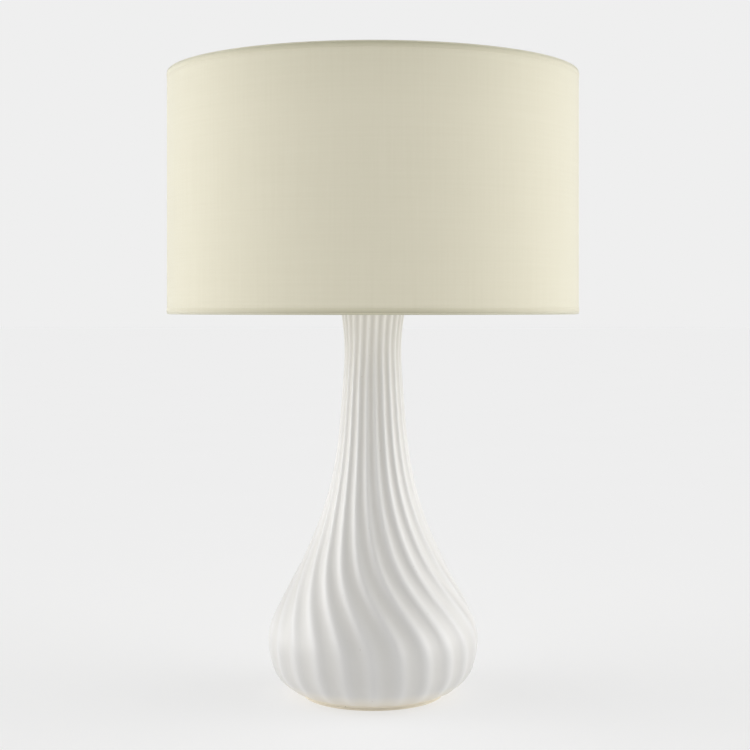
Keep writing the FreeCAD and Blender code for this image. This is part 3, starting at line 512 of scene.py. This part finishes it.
def outside_rows(first, top):
    """The fluted outside, from its lowest edge up to the lip."""
    # the rings lie closest together about the rounded edge
    above_edge = first + 8 * MM
    heights = np.concatenate([
        np.linspace(first, above_edge, 12, endpoint=False), np.linspace(above_edge, top - 0.8 * MM, 190),
    ])
    radius, turn, depth = jar_sizes(heights)
    # in its first 3 mm it is rounded under, with shallower flutes
    under = np.clip((heights - first) / (3 * MM), 0, 1)
    radius = radius - 2.2 * MM * (1 - under) ** 2
    depth = depth * (0.45 + 0.55 * under)
    return list(zip(radius, heights, turn, depth))


def inside_rows(top):
    """The plain inside, a wall's thickness in from the flutes, from the lip down to the foot."""
    heights = np.linspace(top - 1 * MM, JAR_RINGS[2][0] * top, 40)
    radius, turn, depth = jar_sizes(heights)
    return list(zip(radius - depth - JAR_WALL, heights, turn, np.zeros_like(depth)))


def jar_profile():
    """The jar's closed profile as rows of (radius, height, turn, flute depth): out, up, over and in."""
    low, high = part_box("ceramic_body")
    first = JAR_RINGS[0][0] * high.z
    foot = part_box("felt_pad")[1].x + FOOT_GAP
    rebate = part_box("bottom_gasket")[1].x + FOOT_GAP
    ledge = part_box("bottom_gasket")[1].z
    turn = FLUTE_TWIST
    foot_ring = [
        (rebate, low.z, turn, 0),
        (foot - 1.2 * MM, low.z, turn, 0),
        (foot - 0.4 * MM, low.z + 0.2 * MM, turn, 0),
        (foot, low.z + 0.9 * MM, turn, 0),
        (foot + 0.1 * MM, first - 2.0 * MM, turn, 0),
        (foot + 0.6 * MM, first - 1.1 * MM, turn, 0),
        (foot + 1.6 * MM, first - 0.4 * MM, turn, 0),
    ]
    outside = outside_rows(first, high.z)
    edge, _, edge_turn, edge_depth = outside[-1]
    lip = [
        (edge - 0.3 * MM, high.z - 0.25 * MM, edge_turn, edge_depth),
        (edge - 1.0 * MM, high.z, edge_turn, edge_depth),
        (edge - 3.0 * MM, high.z, edge_turn, 0),
        (edge - 9.0 * MM, high.z, edge_turn, 0),
    ]
    rebate_step = [
        (rebate - 3 * MM, ledge + 2 * MM, turn, 0),
        (rebate - 3 * MM, ledge, turn, 0),
        (rebate, ledge, turn, 0),
    ]
    return np.array(foot_ring + outside + lip + inside_rows(high.z) + rebate_step)


def jar_points(rows):
    """The profile carried round, dipping between the flutes' crests, each flute slightly its own. With the
    points comes how far each is down a flute, which the glaze's painted shade follows."""
    columns = np.arange(FLUTES * COLUMNS_PER_FLUTE)
    way = columns / len(columns) * FULL_TURN
    draw = np.random.default_rng(24)
    # the flutes' own depths fade into each other, so that neighbours meet
    deep = draw.uniform(0.9, 1.1, FLUTES)
    own = np.interp(columns / COLUMNS_PER_FLUTE, np.arange(FLUTES + 1), np.append(deep, deep[0]))
    sway = sum(0.12 * MM * np.sin(k * way + draw.uniform(0, FULL_TURN)) for k in (2, 3, 5))
    wave = way * FLUTES
    dip = (1 + CREST_SHARPNESS - np.cos(wave) - CREST_SHARPNESS * np.cos(2 * wave)) / 2
    radius, height, turn, depth = (rows[:, i:i + 1] for i in range(4))
    reach = radius - depth * dip * own + np.where(depth > 0, sway, 0)
    angle = way + turn - math.pi / 2
    height = np.broadcast_to(height, reach.shape)
    points = np.stack([reach * np.cos(angle), reach * np.sin(angle), height], -1)
    # how far down a flute each point is, which sets the glaze's painted shade; the inside takes a fixed
    # share
    painted_flute_shade = np.where(depth > 0, dip, 0.3)
    return points, painted_flute_shade


def drill(radius, start, end, height):
    """A round cutter that runs along Y from start to end."""
    way = np.linspace(0, FULL_TURN, 64, endpoint=False)
    across, up = radius * np.sin(way), height + radius * np.cos(way)
    rings = [np.stack([across, np.full_like(way, y), up], -1) for y in (start, end)]
    return grid_object("drill", np.array(rings), close_rows=False)


def cut_inlet(jar):
    """Cut the cord's hole and its flat spot face out of the back of the jar."""
    low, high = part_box("cord_bushing")
    height = (low.z + high.z) / 2
    face = high.y - INLET_RIM
    past_wall = 20 * MM
    # the hole takes the bushing's barrel, and the spot face is a little wider than its flange
    flange = high.x
    hole = drill(flange - 1.6 * MM, face - past_wall, face + 5 * MM, height)
    spot_face = drill(flange + 0.4 * MM, face, face + past_wall, height)
    bpy.context.view_layer.objects.active = jar
    for cutter in (hole, spot_face):
        cut = jar.modifiers.new("inlet", "BOOLEAN")
        cut.object = cutter
        cut.solver = "EXACT"
        bpy.ops.object.modifier_apply(modifier=cut.name)
        bpy.data.objects.remove(cutter)


def ceramic_jar():
    """The glazed jar, with the marks its glaze reads: how far down a flute, for its painted shade, and how
    near the foot.
    """
    points, painted_flute_shade = jar_points(jar_profile())
    jar = grid_object("glazed_jar", points, close_rows=True)
    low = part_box("ceramic_body")[0]
    foot = np.clip(1 - (points[..., 2] - low.z) / FOOT_FADE, 0, 1)
    for name, values in (("painted_flute_shade", painted_flute_shade), ("foot", foot)):
        attribute = jar.data.attributes.new(name, "FLOAT", "POINT")
        attribute.data.foreach_set("value", values.reshape(-1).astype(np.float32))
    cut_inlet(jar)
    finish_piece(jar, "glaze", "root", "ceramic_body")


# ---- the shade ---------------------------------------------------------------------------------------

def shade_cloth():
    """The cloth laminated round the liner, from hem to hem."""
    low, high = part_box("shade_fabric")
    heights = np.linspace(low.z, high.z, 25)
    inside = high.x - CLOTH_THICKNESS
    outline = [(high.x, z) for z in heights] + [(inside, z) for z in heights[::-1]]
    cloth = swept_round("drum_cloth", outline, wobble=0.03 * MM, seed=5)
    return finish_piece(cloth, "shade_cloth", "shade", "shade_fabric")


def hem(name, node, edge, inward):
    """Cloth folded round a frame ring: a plump outside lip, the shade's edge, and a longer tail inside.
    Inward is 1 where the shade lies above its edge and -1 where it lies below."""
    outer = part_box(node)[1].x
    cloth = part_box("shade_fabric")[1].x
    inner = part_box("top_ring")[1].x - FRAME_WIRE - HEM_SLACK - CLOTH_THICKNESS
    # each corner's radius, and then in mm how far in from the edge it is and how much it bends
    corners = [
        (cloth - 0.15 * MM, 6.0, 0.2), (cloth - 0.15 * MM, 1.6, 1.0), (cloth - 1.2 * MM, 0.45, 0.8),
        (inner + 1.0 * MM, 0.45, 0.8), (inner + 0.4 * MM, 1.4, 0.8), (inner + 0.4 * MM, 12.0, 0.15),
        (inner, 12.0, 0.15), (inner, 1.0, 1.2), (inner + 1.0 * MM, 0.0, 1.6),
        (outer - 1.9 * MM, 0.0, 1.8), (outer - 0.1 * MM, 1.5, 1.8), (outer, 3.4, 1.6),
        (cloth + 0.18 * MM, 5.9, 0.3), (cloth + 0.02 * MM, 6.0, 0.2),
    ]
    outline = rounded([(radius, edge + inward * depth * MM, bend * MM) for radius, depth, bend in corners])
    # both hems run the same way round, so that their faces point outwards
    if inward < 0:
        outline = outline[::-1]
    piece = swept_round(name, outline, wobble=0.05 * MM, seed=11)
    return finish_piece(piece, "hem_cloth", "shade", node)


def seam():
    """The lap at the back, where the cloth's end is glued over its start, wandering very slightly."""
    low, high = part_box("shade_seam")
    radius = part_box("shade_fabric")[1].x
    half = math.asin(high.x / radius)
    share = np.linspace(-1, 1, 25)
    front = radius + SEAM_PROUD * (1 - share ** 8) + 0.02 * MM
    back = np.full_like(share, radius - 0.05 * MM)
    reach = np.concatenate([front, back])
    angles = math.pi / 2 + half * np.concatenate([share, share[::-1]])
    heights = np.linspace(low.z, high.z, 60)[:, None]
    phase = np.random.default_rng(3).uniform(0, FULL_TURN)
    turned = angles + 0.25 * MM / radius * np.sin(21 * heights + phase)
    heights = np.broadcast_to(heights, turned.shape)
    points = np.stack([reach * np.cos(turned), reach * np.sin(turned), heights], -1)
    strip = grid_object("lap_seam", points, close_rows=False)
    return finish_piece(strip, "shade_cloth", "shade", "shade_seam")


def drum_shade():
    """The shade's cloth with its hems and seam."""
    low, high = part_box("bottom_hem")[0].z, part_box("top_hem")[1].z
    cloth = shade_cloth()
    bottom = hem("bottom_fold", "bottom_hem", low, 1)
    top = hem("top_fold", "top_hem", high, -1)
    lap = seam()


# ---- floor, light and camera -------------------------------------------------------------------------

def studio_floor():
    """A plain pale light table that the lamp stands on: lit from below, so that shadows on it are faint."""
    reach = 30.0
    mesh = bpy.data.meshes.new("studio_floor")
    corners = [(-reach, -reach, 0), (reach, -reach, 0), (reach, reach, 0), (-reach, reach, 0)]
    mesh.from_pydata(corners, [], [(0, 1, 2, 3)])
    floor = bpy.data.objects.new("studio_floor", mesh)
    bpy.context.scene.collection.objects.link(floor)
    shader = Shader(
        "studio_floor", Roughness=1.0, Specular_IOR_Level=0.0, Emission_Color=grey(1.0),
        Emission_Strength=FLOOR_GLOW)
    cloud = shader.noise(shader.place(), 3.0, 2.0)
    shader.set("Base_Color", shader.mix(cloud, grey(0.405), grey(0.395)))
    mesh.materials.append(shader.material)


def studio_light():
    """A light tent: bright at both sides and above, dimmer in front and behind. The camera sees a plain
    grey in its place."""
    world = bpy.data.worlds.new("light_tent")
    world.use_nodes = True
    world.node_tree.nodes.clear()
    tent = Nodes(world.node_tree)
    across, _, up = tent.axes(tent.node("TexCoord", output="Generated"))
    sides = tent.math("POWER", tent.math("ABSOLUTE", across), 4.0)
    above = tent.math("POWER", tent.math("MAXIMUM", up, 0.0), 2.0)
    from_sides = tent.math("MULTIPLY", sides, SIDE_LIGHT)
    from_above = tent.math("MULTIPLY", above, TOP_LIGHT)
    strength = tent.math("ADD", tent.math("ADD", from_sides, from_above), FILL_LIGHT)
    lit = tent.node("Background", {"Color": grey(TENT_GREY), "Strength": strength})
    seen = tent.node("Background", {"Color": grey(BACKDROP)})
    camera_ray = tent.node("LightPath", output="Is Camera Ray")
    shown = tent.node("MixShader", {0: camera_ray, 1: lit, 2: seen})
    out = world.node_tree.nodes.new("ShaderNodeOutputWorld")
    tent.put(out.inputs["Surface"], shown)
    bpy.context.scene.world = world
    bpy.context.scene.view_settings.view_transform = "Standard"


def studio_camera():
    """A level camera in front of the lamp, about as high as the shade's lower edge."""
    distance, height = 1.482, 0.3804
    camera = bpy.data.cameras.new("camera")
    camera.sensor_width = 36.0
    camera.lens = 71.6
    camera.shift_x = 0.0028
    camera.shift_y = -0.0875
    eye = bpy.data.objects.new("camera", camera)
    eye.location = (0, -distance, height)
    eye.rotation_euler = (math.pi / 2, 0, 0)
    bpy.context.scene.collection.objects.link(eye)
    bpy.context.scene.camera = eye


paint_frame()
ceramic_jar()
drum_shade()
studio_floor()
studio_light()
studio_camera()
